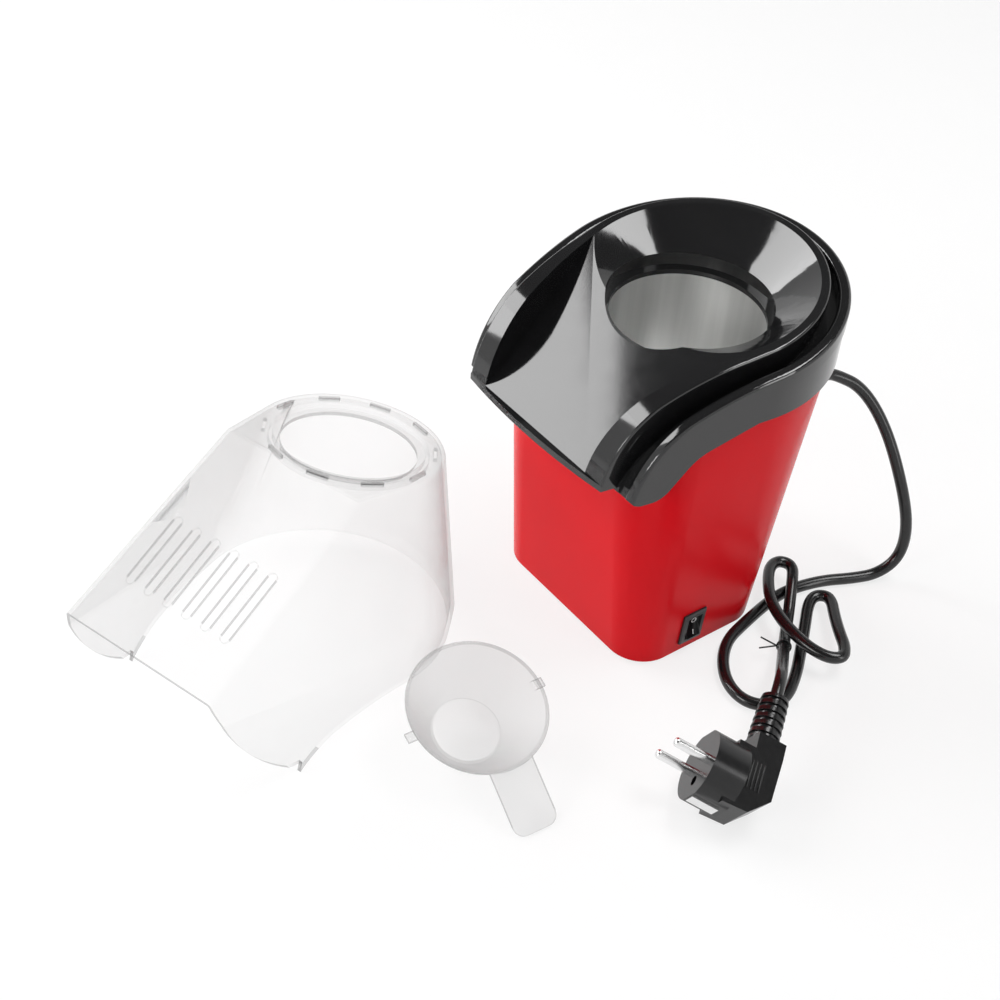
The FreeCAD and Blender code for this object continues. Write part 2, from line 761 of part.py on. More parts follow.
chamber = revolved_body("popping_chamber", [
    ("0", "chamber_bottom + 5"), ("chamber_radius * 0.68", "chamber_bottom"),
    ("chamber_radius + chamber_wall", "chamber_bottom"), ("chamber_radius + chamber_wall",
                                                          "neck_height - neck_depth - 1.5"),
    ("chamber_flange", "neck_height - neck_depth - 1.5"), ("chamber_flange",
                                                           "neck_height - neck_depth - 1.5 + chamber_wall"),
    ("chamber_radius", "neck_height - neck_depth - 1.5 + chamber_wall"),
    ("chamber_radius", "chamber_bottom + chamber_wall"),
    ("chamber_radius * 0.68", "chamber_bottom + chamber_wall"), ("0", "chamber_bottom + chamber_wall + 5")])
clear_chute(chamber, "chamber_clearance")
slot = chamber.newObject("PartDesign::SubtractiveBox", "air_slot")
bind(slot, Length="sizes.chamber_wall * 6", Width="sizes.vent_width", Height="sizes.vent_height")
slot.setExpression(".Placement.Base.x", "sizes.chamber_radius - sizes.chamber_wall * 2")
slot.setExpression(".Placement.Base.y", "0 - sizes.vent_width / 2")
slot.setExpression(".Placement.Base.z", "sizes.chamber_bottom + sizes.chamber_wall * 4")
doc.recompute()
ring = chamber.newObject("PartDesign::PolarPattern", "air_slots")
ring.Originals = [slot]
ring.Axis = (plane(chamber, "Z_Axis"), [""])
ring.Angle = 360
bind(ring, Occurrences="sizes.vent_count")
chamber.Tip = ring
doc.recompute()

motor = revolved_body("motor_body", [
    ("shaft_radius + shaft_clearance", "motor_bottom"), ("motor_radius - 1.5", "motor_bottom"),
    ("motor_radius", "motor_bottom + 1.5"), ("motor_radius", "motor_bottom + motor_length"),
    ("shaft_radius + shaft_clearance", "motor_bottom + motor_length")])

shaft = primitive("Cylinder", "motor_shaft", Radius="sizes.shaft_radius",
                  Height="sizes.fan_bottom + sizes.fan_height - sizes.motor_bottom + 4")
place(shaft, "0", "sizes.axis_back", "sizes.motor_bottom - 4")

fan = revolved_body("fan", [
    ("shaft_radius", "fan_bottom"), ("fan_radius", "fan_bottom"), ("fan_radius", "fan_bottom + 1.6"),
    ("fan_hub", "fan_bottom + 1.6"), ("fan_hub - 3", "fan_bottom + fan_height"),
    ("shaft_radius", "fan_bottom + fan_height")])
blade_box = fan.newObject("PartDesign::AdditiveBox", "blade")
bind(blade_box, Length="sizes.fan_radius - sizes.fan_hub + 2", Width="sizes.blade_thickness",
     Height="sizes.fan_height - 1")
blade_box.setExpression(".Placement.Base.x", "sizes.fan_hub - 3")
blade_box.setExpression(".Placement.Base.y", "0 - sizes.blade_thickness / 2")
blade_box.setExpression(".Placement.Base.z", "sizes.fan_bottom + 0.5")
doc.recompute()
blades = fan.newObject("PartDesign::PolarPattern", "blades")
blades.Originals = [blade_box]
blades.Axis = (plane(fan, "Z_Axis"), [""])
blades.Angle = 360
bind(blades, Occurrences="sizes.blade_count")
fan.Tip = blades
doc.recompute()

for piece, label in ((duct, "air_duct"), (chamber, "popping_chamber"), (motor, "motor_body"),
                     (shaft, "motor_shaft"), (fan, "fan")):
    keep_object(piece, label)


bracket_turns = (0, 120, 240)


def make_motor_bracket():
    """A disc under the duct's floor with three arms out to it."""
    low = size["duct_bottom"] - size["bracket_thickness"]
    centre = Vector(0, axis_y, low)
    plate = cylinder(size["motor_radius"] + 1, size["bracket_thickness"], centre)
    arm_length = size["bracket_circle"] + 4
    for turn in bracket_turns:
        arm = Part.makeBox(arm_length, 9, size["bracket_thickness"], Vector(0, -4.5, 0))
        arm.rotate(Vector(0, 0, 0), up, turn)
        plate = plate.fuse(arm.translated(centre))
    plate = plate.cut(cylinder(4, 10, centre - up))
    for spot in bracket_spots():
        plate = plate.cut(cylinder(size["screw_shank"], 20, spot - up * 10))
    return plate


def bracket_spots():
    reach = size["bracket_circle"]
    turns = [math.radians(angle) for angle in bracket_turns]
    low = size["duct_bottom"] - size["bracket_thickness"]
    return [Vector(reach * math.cos(turn), axis_y + reach * math.sin(turn), low) for turn in turns]


keep("motor_bracket", make_motor_bracket())
keep("bracket_screws", Part.makeCompound(
    [screw(spot, size["bracket_thickness"] + size["duct_wall"], up) for spot in bracket_spots()]))

# Rectifier board under the motor, with its four diodes.
board_low = size["motor_bottom"] - 1.6
board_centre = Vector(0, axis_y, board_low)
board = cylinder(size["motor_radius"] - 2, 1.6, board_centre).cut(cylinder(3, 5, board_centre - up))
keep("rectifier_board", board)
diodes = []
for turn in (45, 135, 225, 315):
    diode = cylinder(1.4, 5, Vector(7.5, -2.5, -1.4), Vector(0, 1, 0))
    diode.rotate(Vector(0, 0, 0), up, turn)
    diodes.append(diode.translated(board_centre))
keep("rectifier_diodes", Part.makeCompound(diodes))

# Heater: two crossed mica plates and a flat spiral of resistance wire on them.


def mica_plate(turn, slot_up):
    height = size["mica_height"]
    half = size["mica_span"] / 2
    thick = size["mica_thickness"]
    plate = Part.makeBox(2 * half, thick, height, Vector(-half, -thick / 2, 0))
    gap = thick + 0.2
    low = height / 2 if slot_up else 0
    plate = plate.cut(Part.makeBox(gap, 4, height / 2, Vector(-gap / 2, -2, low)))
    plate.rotate(Vector(0, 0, 0), up, turn)
    return plate.translated(Vector(0, axis_y, size["mica_bottom"]))


keep("mica_plate_across", mica_plate(0, True))
keep("mica_plate_along", mica_plate(90, False))


def make_heating_coil():
    """Half circles about two centres by turns, each wider by half a pitch: one flat spiral."""
    level = size["mica_bottom"] + size["mica_height"] + size["coil_wire"] / 2 + 0.1
    step = size["coil_pitch"] / 2
    radius = size["coil_start"]
    x_centre = 0.0
    edges = []
    for index in range(int(size["coil_half_turns"])):
        way = 1 if index % 2 == 0 else -1
        start = Vector(x_centre + way * radius, axis_y, level)
        top = Vector(x_centre, axis_y + way * radius, level)
        finish = Vector(x_centre - way * radius, axis_y, level)
        edges.append(arc(start, top, finish))
        x_centre += way * step
        radius += step
    path = Part.Wire(edges)
    ring = Part.Wire(Part.makeCircle(size["coil_wire"] / 2, edges[0].Vertexes[0].Point, Vector(0, 1, 0)))
    print("heating coil: gap between turns", round(size["coil_pitch"] - size["coil_wire"], 2), "mm")
    return Part.Wire(path).makePipeShell([ring], True, False)


keep("heating_coil", make_heating_coil())


def on_duct(shape, turn, height):
    """Turns a piece that points along X to its place on the duct's outer wall."""
    piece = shape.translated(Vector(size["duct_radius"] + size["duct_wall"], 0, height))
    piece.rotate(Vector(0, 0, 0), up, turn)
    return piece.translated(Vector(0, axis_y, 0))


thermostat = fuse([cylinder(8, 4, Vector(-0.5, 0, 0), Vector(1, 0, 0)),
                   cylinder(6, 5, Vector(3, 0, 0), Vector(1, 0, 0)),
                   Part.makeBox(7, 0.8, 5, Vector(7, -4, -2.5)),
                   Part.makeBox(7, 0.8, 5, Vector(7, 3.2, -2.5))])
keep("thermostat", on_duct(thermostat, 200, 128).cut(
    cylinder(size["duct_radius"] + size["duct_wall"] + 0.05, 60, Vector(0, axis_y, 100))))
fuse_link = fuse([cylinder(2, 11, Vector(2.1, 0, -5.5)), cylinder(0.5, 26, Vector(2.1, 0, -13))])
keep("thermal_fuse", on_duct(fuse_link, 238, 128))

# Mains cord: boot at the back wall, tube, plug with pins and earth clips, tie.
cord_radius = size["cord_diameter"] / 2


def turned(points, spot, direction):
    """Spins a half outline (radius, distance) about a line."""
    outline = [Vector(0, 0, points[0][1])] + [Vector(r, 0, z) for r,
                                              z in points] + [Vector(0, 0, points[-1][1])]
    spun = Part.Face(Part.makePolygon(outline + outline[:1])).revolve(Vector(0, 0, 0), up, 360)
    spun.Placement = Placement(spot, Rotation(up, direction))
    return spun


def boot_outline(root, tip, length, ribs):
    """A tapered rubber boot with grooves round it."""
    points = [(root, 0)]
    pitch = length / (ribs + 0.5)
    for rib in range(ribs):
        low, high = pitch * (rib + 0.55), pitch * (rib + 1)
        wide = root + (tip - root) * low / length
        points += [(wide, low), (wide - 0.9, low + 0.2), (wide - 0.9, high - 0.2), (wide, high)]
    return points + [(tip, length)]


back_way = Vector(0, 1, 0)
gland_root = gland_wall - back_way * 5
gland = turned([(size["gland_radius"], 0)] + [(radius, reach + 5) for radius, reach in boot_outline(
    size["gland_radius"], cord_radius + 0.9, size["gland_length"], 5)], gland_root,
    back_way).cut(housing_outer)
gland_neck = cylinder(size["gland_radius"] - 2, 14, gland_wall - back_way * 12, back_way)
gland_collar = cylinder(size["gland_radius"], 6, gland_wall - back_way * 8, back_way)
gland_collar = gland_collar.common(housing_block(size["housing_wall"]))
keep("strain_relief", fuse([gland, gland_neck, gland_collar]))
gland_end = gland_wall + back_way * size["gland_length"]

# Angled plug in its own frame: the pins point along X, they lie apart along Y, the cord leaves along Z.
plug_place = Placement(Vector(140.5, -76.7, 28.0), Rotation(
    Vector(-0.684, -0.603, 0.41), Vector(0.484, 0.045, 0.874), Vector(-0.545, 0.797, 0.261), "XZY"))
forward = Vector(1, 0, 0)
face_radius, flat = size["plug_width"] / 2, size["plug_height"] / 2
depth = size["plug_depth"]
neck_half = size["plug_neck"] / 2
head = cylinder(face_radius, depth / 2, Vector(-depth / 2, 0, 0), forward)
head = head.common(Part.makeBox(2 * depth, 4 * face_radius, 2 * flat,
                                Vector(-depth, -2 * face_radius, -flat)))


def plug_corner(x, z):
    return Vector(x, -neck_half, z)


relief_x = -depth + size["relief_radius"] + 1
relief_low = flat + 8.5
back_outline = [plug_corner(-depth / 3, -flat + 0.5), plug_corner(-depth * 0.72, -flat + 1.5),
                plug_corner(-depth, -flat * 0.3),
                plug_corner(-depth, flat), plug_corner(relief_x - size["relief_radius"] - 0.6, relief_low),
                plug_corner(relief_x + size["relief_radius"] + 0.6, relief_low),
                plug_corner(-depth * 0.58, flat - 0.5),
                plug_corner(-depth / 3, flat - 0.5)]
back_block = Part.Face(Part.makePolygon(back_outline + back_outline[:1])).extrude(Vector(0, 2 * neck_half, 0))
relief = turned(boot_outline(size["relief_radius"], cord_radius + 1.5, size["relief_length"], 6),
                Vector(relief_x, 0, relief_low), up)
plug_body = fuse([head, back_block, relief])
pin_radius = size["pin_diameter"] / 2
pin_depth = 13.0
pin_spots = [Vector(-pin_depth, way * size["pin_spacing"] / 2, 0) for way in (-1, 1)]
for spot in pin_spots:
    plug_body = plug_body.cut(cylinder(pin_radius, 40, spot, forward))
plug_body = plug_body.cut(cylinder(2.5, 40, Vector(-pin_depth, 0, -flat / 2), forward))
plug_place.Base = plug_place.Base - up * lowest(moved(plug_body, plug_place))


def in_plug(shape):
    return moved(shape, plug_place)


keep("plug_body", in_plug(plug_body))
pins = []
for spot in pin_spots:
    pin = cylinder(pin_radius, size["pin_length"] + pin_depth, spot, forward)
    tip = [edge for edge in pin.Edges if abs(edge.BoundBox.XMin - size["pin_length"]) < 1e-3
           and edge.BoundBox.XLength < 1e-3]
    pins.append(in_plug(pin.makeFillet(pin_radius * 0.75, tip)))
keep("plug_pins", Part.makeCompound(pins))
clip_half, clip_thick, clip_length = 3.4, 0.9, depth * 0.4
clips = [Part.makeBox(clip_length, 2 * clip_half, clip_thick, Vector(-clip_length - 0.6, -clip_half, low))
         for low in (flat, -flat - clip_thick)]
keep("plug_earth_clips", Part.makeCompound([in_plug(clip) for clip in clips]))

relief_end = plug_place.multVec(Vector(relief_x, 0, relief_low + size["relief_length"]))
relief_way = plug_place.Rotation.multVec(up)
cord_route = [
    gland_end,
    gland_end + Vector(0, 7, 0),
    gland_end + Vector(1.5, 13.4, -1.5),
    Vector(36, 118, 108.5),
    Vector(52, 126, 88),
    Vector(70, 129, 58),
    Vector(78.5, 132, 33),
    Vector(80, 130, 13),
    Vector(76.7, 118, 3.7),
    Vector(71, 103, 3.3),
    Vector(64.5, 90, 3.3),
    Vector(60.5, 76, 3.3),
    Vector(58.5, 61, 3.3),
    Vector(61, 45, 3.3),
    Vector(65, 28, 3.3),
    Vector(69.5, 11, 3.3),
    Vector(79.5, -2, 3.3),
    Vector(93, -11, 3.3),
    Vector(107, -12.5, 3.3),
    Vector(117, -5, 3.3),
    Vector(118.5, 8, 3.3),
    Vector(109, 24, 3.3),
    Vector(97.5, 38.5, 3.3),
    Vector(86, 52.5, 3.6),
    Vector(73.5, 67, 5.4),
    Vector(72.5, 74.5, 6.6),
    Vector(79, 78.5, 7.4),
    Vector(92, 68, 9),
    Vector(104, 59.5, 10.6),
    Vector(113, 54, 11.6),
    Vector(119, 47, 12.2),
    Vector(115, 39.5, 12.7),
    Vector(104.2, 36, 13),
    Vector(92.6, 36, 13.4),
    Vector(79.3, 38, 13.4),
    Vector(65.4, 43.8, 13.2),
    Vector(53, 54, 12.8),
    Vector(45, 63.5, 12.2),
    Vector(44.5, 71.5, 11.7),
    Vector(51.5, 75, 11.3),
    Vector(60, 66.5, 10.4),
    Vector(68, 58, 6.8),
    Vector(75.5, 50, 3.6),
    Vector(86, 37.5, 4),
    Vector(100, 21, 12),
    Vector(114, 4, 24),
    relief_end + relief_way * 12,
    relief_end,
]


def rounded_route(points):
    """Straight runs joined by tangent arcs, each as large as its two runs allow."""
    edges = []
    start = points[0]
    tightest = 1e9
    for before, corner, after in zip(points, points[1:], points[2:]):
        way_in = (corner - before).normalize()
        way_out = (after - corner).normalize()
        half_turn = way_in.getAngle(way_out) / 2
        reach = 0.45 * min((corner - before).Length, (after - corner).Length)
        radius = reach / math.tan(half_turn)
        tightest = min(tightest, radius)
        print("   cord turn", round(math.degrees(2 * half_turn)), "degrees, radius", round(radius, 1), "mm")
        touch_in = corner - way_in * reach
        touch_out = corner + way_out * reach
        inward = (way_out - way_in).normalize()
        middle = corner + inward * (radius / math.cos(half_turn) - radius)
        edges.append(line(start, touch_in))
        edges.append(arc(touch_in, middle, touch_out))
        start = touch_out
    edges.append(line(start, points[-1]))
    print("tightest cord turn", round(tightest, 1), "mm")
    return Part.Wire(edges)


cord_path = rounded_route(cord_route)
cord_ring = Part.Wire(Part.makeCircle(cord_radius, cord_route[0], cord_route[1] - cord_route[0]))
cord_tube = cord_path.makePipeShell([cord_ring], True, False)
print("cord length", round(cord_path.Length), "volume over section times length",
      round(cord_tube.Volume / (math.pi * cord_radius ** 2 * cord_path.Length), 4))
keep("power_cord", cord_tube)

# Thin wire tie round the cord, with two loose ends.
tie_radius = size["tie_wire"] / 2
tie_spot = (cord_route[-5] + cord_route[-4]) * 0.5
tie_way = (cord_route[-4] - cord_route[-5]).normalize()
tie_out = Vector(-0.59, -0.8, 0)
tie_out = (tie_out - tie_way * tie_out.dot(tie_way)).normalize()
tie_ring = Part.makeTorus(cord_radius + tie_radius, tie_radius, tie_spot, tie_way)
tie_root = tie_spot + tie_out * (cord_radius + tie_radius)
tie_ends = [cylinder(tie_radius, size["tie_tail"], tie_root, tie_out + way)
            for way in (up * 0.5, tie_way * 0.5 - up * 0.1)]
keep("cord_tie", fuse([tie_ring] + tie_ends))


# Clear hood, shaped where it sits on the cover and then set down beside the machine.


def hood_outline(inset):
    """Plan outlines of the hood: upright where it stands in the groove, closing in above."""
    middle = (groove_inner + groove_outer + size["hood_wall"]) / 2
    low = size["nose_height"] - 20
    levels = ((middle, low), (middle, hood_bend), (size["hood_top_radius"], hood_top))
    wires = []
    for radius, height in levels:
        front_left, front_right, right, back, left = horseshoe_edges(
            radius - inset, size["toe_in"], size["hood_lip_reach"] + 10, height)
        wires.append(wire(line(front_left, front_right), line(front_right, right),
                          arc(right, back, left), line(left, front_left)))
    return Part.makeLoft(wires, True, True)


hood_play = 0.5
hood_foot = rim_line(groove_inner) - size["bead_drop"] - size["groove_depth"] + hood_play
hood_bend = hood_foot + 8
hood_top = hood_foot + size["hood_height"]
hood_lip = hood_foot + size["hood_lip_height"]
hood_tip_y, hood_tip_z = -size["hood_flap_reach"], hood_foot - size["hood_flap_drop"]
hood_fall = math.atan2(hood_top - hood_lip, size["hood_lip_reach"] - size["hood_top_front"])


def make_hood():
    wall = size["hood_wall"]
    reach = size["hood_lip_reach"]
    lift = size["groove_depth"] - hood_play
    outline = rise(size["nose_reach"], size["nose_height"] - lift, size["bead_drop"] + lift,
                   [(back_end, hood_top), (-size["hood_top_front"], hood_top), (-reach, hood_lip),
                    (-reach, size["nose_height"] - lift)])
    shell = hood_outline(0).common(side_prism(outline)).removeSplitter()
    top_edges = [edge for edge in shell.Edges if edge.BoundBox.ZMin > hood_lip - 0.01
                 and edge.BoundBox.ZMax > hood_top - 0.01 and edge.BoundBox.YMax < axis_y + back_end - 1]
    shell = shell.makeFillet(size["hood_round"], top_edges)
    slope = math.tan(hood_fall)
    drop = wall / math.cos(hood_fall)
    far = reach + 60
    bend_y = -size["hood_top_front"] + (drop - wall) / slope
    inside = side_prism(side_polygon([(back_end, hood_top - wall), (bend_y, hood_top - wall),
                                      (-far, hood_lip - drop - (far - reach) * slope), (-far, 0),
                                      (back_end, 0)]))
    shell = shell.cut(hood_outline(wall).common(inside))
    # front edge of the side flaps
    tip = side(hood_tip_y, hood_tip_z)
    lip = side(-reach, hood_lip)
    belly = side(-size["hood_belly_reach"], hood_foot - size["hood_belly_drop"])
    corners = [lip, side(-far, hood_lip), side(-far, 0), side(hood_tip_y + 8, 0),
               side(hood_tip_y + 8, hood_tip_z), tip]
    shell = shell.cut(side_prism([arc(tip, belly, lip)] + [line(a, b) for a, b in zip(corners, corners[1:])]))
    # round recess with the opening that takes the cup
    centre = Vector(0, axis_y, hood_top)
    deep = size["hood_recess_depth"]
    shell = shell.fuse(cylinder(size["hood_recess_radius"] + wall, deep + wall, centre - up * (deep + wall)))
    shell = shell.cut(cylinder(size["hood_recess_radius"], deep + 1, centre - up * deep))
    shell = shell.cut(cylinder(size["hood_hole_radius"], 30, centre - up * 15))
    # vents round the opening
    count = int(size["hood_vent_count"])
    vent_reach = size["hood_recess_radius"] + wall + 1.5
    for index in range(count):
        vent = Part.makeBox(1.8, 11, 12, Vector(vent_reach, -5.5, -6))
        vent.rotate(Vector(0, 0, 0), up, 360.0 * (index + 0.5) / count + 90)
        shell = shell.cut(vent.translated(centre))
    # long slots down the sloping front
    count = int(size["hood_slot_count"])
    half_width = size["hood_slot_width"] / 2
    half_length = size["hood_slot_length"] / 2 - half_width
    middle_y = -(reach * size["hood_slot_share"] + size["hood_top_front"] * (1 - size["hood_slot_share"]))
    middle = side(middle_y, hood_top + slope * (middle_y + size["hood_top_front"]))
    for index in range(count):
        x = (index - (count - 1) / 2) * size["hood_slot_pitch"]
        slot = fuse([Part.makeBox(2 * half_width, 2 * half_length, 20,
                                  Vector(x - half_width, -half_length, -10)),
                     cylinder(half_width, 20, Vector(x, -half_length, -10)),
                     cylinder(half_width, 20, Vector(x, half_length, -10))])
        slot.rotate(Vector(0, 0, 0), Vector(1, 0, 0), math.degrees(hood_fall))
        shell = shell.cut(slot.translated(middle))
    return shell


hood = make_hood()
hood.translate(Vector(0, -axis_y, -hood_foot))
back_reach = (groove_inner + groove_outer + size["hood_wall"]) / 2
hood_lean = -math.degrees(math.atan2(size["hood_flap_drop"], size["hood_flap_reach"] + back_reach))
hood_place = Placement(Vector(size["hood_across"], size["hood_back"], 0),
                       Rotation(up, size["hood_turn"]) * Rotation(Vector(1, 0, 0), hood_lean))
hood = moved(hood, hood_place)
hood.translate(Vector(0, 0, -lowest(hood)))
keep("hood", hood)

# Clear measuring cup, resting on its foot and on the end of its handle.
cup_wall = size["cup_wall"]
rim, foot, depth_of_cup = size["cup_rim_radius"], size["cup_base_radius"], size["cup_depth"]
flare = math.atan2(rim - foot, depth_of_cup)
thin = cup_wall / math.cos(flare)
bowl_outline = [Vector(0, 0, 0), Vector(foot, 0, 0), Vector(rim, 0, depth_of_cup),
                Vector(rim - thin, 0, depth_of_cup),
                Vector(foot - thin + cup_wall * math.tan(flare), 0, cup_wall), Vector(0, 0, cup_wall)]
bowl = Part.Face(Part.makePolygon(bowl_outline + bowl_outline[:1])).revolve(Vector(0, 0, 0), up, 360)
grip_length, grip_half = size["cup_handle_length"], size["cup_handle_width"] / 2
root_x = rim - thin - 1
grip = Part.makeBox(grip_length + rim - root_x, 2 * grip_half, cup_wall, Vector(0, -grip_half, -cup_wall))
corner_edges = [edge for edge in grip.Edges if edge.BoundBox.ZLength > 0.9 * cup_wall
                and edge.BoundBox.XMin > grip_length * 0.8]
grip = grip.makeFillet(6, corner_edges)
grip.rotate(Vector(0, 0, 0), Vector(0, 1, 0), size["cup_handle_droop"])
grip.translate(Vector(root_x, 0, depth_of_cup))
hollow_outline = [Vector(0, 0, cup_wall), bowl_outline[4], bowl_outline[3], Vector(0, 0, depth_of_cup)]
hollow = Part.Face(Part.makePolygon(hollow_outline + hollow_outline[:1])).revolve(Vector(0, 0, 0), up, 360)
bowl = bowl.fuse(grip.cut(hollow).cut(cylinder(rim * 2, 5, up * depth_of_cup)))
tabs = []
for turn in (90, 270):
    tab = Part.makeBox(7, 5, cup_wall, Vector(rim - 4, -2.5, depth_of_cup - 4.5))
    tab.rotate(Vector(0, 0, 0), up, turn)
    tabs.append(tab.cut(hollow))
bowl = fuse([bowl] + tabs)
cup_tip = [vertex.Point for vertex in grip.Vertexes]
cup_lean = min(math.degrees(math.atan2(spot.z,
        spot.x - foot)) for spot in cup_tip if spot.x > rim + 0.5 * grip_length)
cup_place = Placement(Vector(size["cup_across"], size["cup_back"], 0),
                      Rotation(up, size["cup_turn"]) * Rotation(Vector(0, 1, 0), cup_lean))
cup = moved(bowl, cup_place)
cup.translate(Vector(0, 0, -lowest(cup)))
keep("measuring_cup", cup)
print("hood lean", round(hood_lean, 1), "cup lean", round(cup_lean, 1))
print("switch pivot", switch_frame_place.multVec(Vector(pivot_x, 0, 0)), "gland end", gland_end)
print("relief end", relief_end, "direction", relief_way)

sheet.clear("D1")
doc.recompute()
for item in doc.Objects:
    if "Invalid" in item.State or "Error" in item.State:
        raise RuntimeError("%s did not compute" % item.Label)
os.makedirs("parts", exist_ok=True)
for piece in parts:
    shape = piece.Shape
    if shape.isNull() or not shape.isValid():
        raise RuntimeError("%s is not a valid shape" % piece.Label)
    box = shape.optimalBoundingBox(False, False)
    print(piece.Label, len(shape.Solids), "solids", round(shape.Volume), "mm3",
          [round(value, 1) for value in (box.XMin, box.XMax, box.YMin, box.YMax, box.ZMin, box.ZMax)])
    shape.exportStep("parts/%s.step" % piece.Label)
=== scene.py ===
import json
import math

import bmesh
import bpy
from mathutils import Matrix, Vector


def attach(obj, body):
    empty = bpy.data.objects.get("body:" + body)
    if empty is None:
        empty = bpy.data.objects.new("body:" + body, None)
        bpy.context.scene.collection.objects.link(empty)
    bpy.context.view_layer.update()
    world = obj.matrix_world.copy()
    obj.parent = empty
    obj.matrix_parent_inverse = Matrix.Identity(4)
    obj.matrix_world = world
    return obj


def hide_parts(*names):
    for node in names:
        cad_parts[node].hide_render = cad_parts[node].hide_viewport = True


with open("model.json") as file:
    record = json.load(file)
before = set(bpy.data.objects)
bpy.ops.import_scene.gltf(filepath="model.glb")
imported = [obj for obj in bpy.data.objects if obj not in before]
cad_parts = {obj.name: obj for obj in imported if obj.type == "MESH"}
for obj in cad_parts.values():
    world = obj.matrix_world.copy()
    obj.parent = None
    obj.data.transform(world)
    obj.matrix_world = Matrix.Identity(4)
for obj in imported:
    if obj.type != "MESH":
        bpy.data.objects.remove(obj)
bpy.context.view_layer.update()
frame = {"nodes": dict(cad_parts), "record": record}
nodes = frame["nodes"]
mm = 0.001
print("frame loaded:", len(nodes), "nodes")

# camera, fitted to the photograph
cameraSettings = {"aim": (-84.8, -27.0, 6.4), "distance": 992.7, "azimuth": 50.27, "elevation": 40.24,
                  "roll": 5.15, "lens": 62.1, "sensor": 36.0, "nearest": 0.05, "farthest": 50}


def addCamera(settings):
    azimuth, elevation, roll = (math.radians(settings[k]) for k in ("azimuth", "elevation", "roll"))
    back = Vector((math.sin(azimuth) * math.cos(elevation), -math.cos(azimuth) * math.cos(elevation),
                   math.sin(elevation)))
    level = Vector((math.cos(azimuth), math.sin(azimuth), 0))
    rise = back.cross(level)
    right = level * math.cos(roll) + rise * math.sin(roll)
    top = rise * math.cos(roll) - level * math.sin(roll)
    place = (Vector(settings["aim"]) + back * settings["distance"]) * mm
    camera = bpy.data.objects.new("camera", bpy.data.cameras.new("camera"))
    bpy.context.scene.collection.objects.link(camera)
    camera.data.lens = settings["lens"]
    camera.data.sensor_width = settings["sensor"]
    camera.data.clip_start = settings["nearest"]
    camera.data.clip_end = settings["farthest"]
    camera.matrix_world = Matrix((right, top, back)).transposed().to_4x4()
    camera.matrix_world.translation = place
    bpy.context.scene.camera = camera
    return camera


addCamera(cameraSettings)
print("camera set")


# shader maths: a wire is an output socket, and sums on wires add Math nodes
class Wire:
    def __init__(self, finish, socket):
        self.finish = finish
        self.socket = socket

    def sum(self, operation, first, second):
        return self.finish.node("ShaderNodeMath", {"operation": operation}, first, second)

    def __add__(self, other):
        return self.sum("ADD", self, other)

    def __radd__(self, other):
        return self.sum("ADD", other, self)

    def __mul__(self, other):
        return self.sum("MULTIPLY", self, other)

    def __rmul__(self, other):
        return self.sum("MULTIPLY", other, self)

    def __pow__(self, other):
        return self.sum("POWER", self, other)

    def __rpow__(self, other):
        return self.sum("POWER", other, self)


class Finish:
    # one material: a Principled shader and the nodes that feed it
    def __init__(self, name, **sockets):
        self.material = bpy.data.materials.new(name)
        self.material.use_nodes = True
        self.tree = self.material.node_tree
        self.tree.nodes.clear()
        self.output = self.tree.nodes.new("ShaderNodeOutputMaterial")
        self.shader = self.tree.nodes.new("ShaderNodeBsdfPrincipled")
        self.tree.links.new(self.shader.outputs["BSDF"], self.output.inputs["Surface"])
        self.feed(**sockets)
        self.place = self.node("ShaderNodeTexCoord", out="Object")

    def plug(self, socket, value):
        if isinstance(value, Wire):
            self.tree.links.new(value.socket, socket)
        elif isinstance(value, (tuple, list)) and len(value) == 3 and socket.type == "RGBA":
            socket.default_value = (*value, 1)
        else:
            socket.default_value = value

    def feed(self, **sockets):
        for name, value in sockets.items():
            self.plug(self.shader.inputs[name.replace("_", " ")], value)

    def node(self, kind, settings=None, *inputs, out=0, **named):
        made = self.tree.nodes.new(kind)
        for key, value in (settings or {}).items():
            if key == "stops":
                ramp = made.color_ramp
                for spot, (at, colour) in enumerate(value):
                    stop = ramp.elements[spot] if spot < 2 else ramp.elements.new(at)
                    stop.position = at
                    stop.color = (*colour, 1)
            else:
                setattr(made, key, value)
        for socket, value in zip(made.inputs, inputs):
            self.plug(socket, value)
        for key, value in named.items():
            self.plug(made.inputs[key.replace("_", " ")], value)
        return Wire(self, made.outputs[out])

    def stretch(self, scale):
        return self.node("ShaderNodeMapping", None, Vector=self.place, Scale=scale)

    def noise(self, scale, detail=2.0, roughness=0.5, stretched=(1, 1, 1)):
        return self.node("ShaderNodeTexNoise", None, Vector=self.stretch(stretched), Scale=scale,
                         Detail=detail, Roughness=roughness)

    def ramp(self, factor, stops):
        return self.node("ShaderNodeValToRGB", {"stops": stops}, factor)

    def bump(self, height, strength, distance):
        self.feed(Normal=self.node("ShaderNodeBump", None, Height=height, Strength=strength,
                                   Distance=distance))


def redGloss(name, dark, light, rough, spread, shine):
    finish = Finish(name, IOR=1.46, Specular_IOR_Level=shine)
    finish.feed(Base_Color=finish.ramp(finish.noise(9, detail=3), [(0.3, dark), (0.7, light)]))
    finish.feed(Roughness=finish.noise(40) * spread + rough)
    finish.bump(finish.noise(1500), strength=0.02, distance=0.00001)
    return finish.material


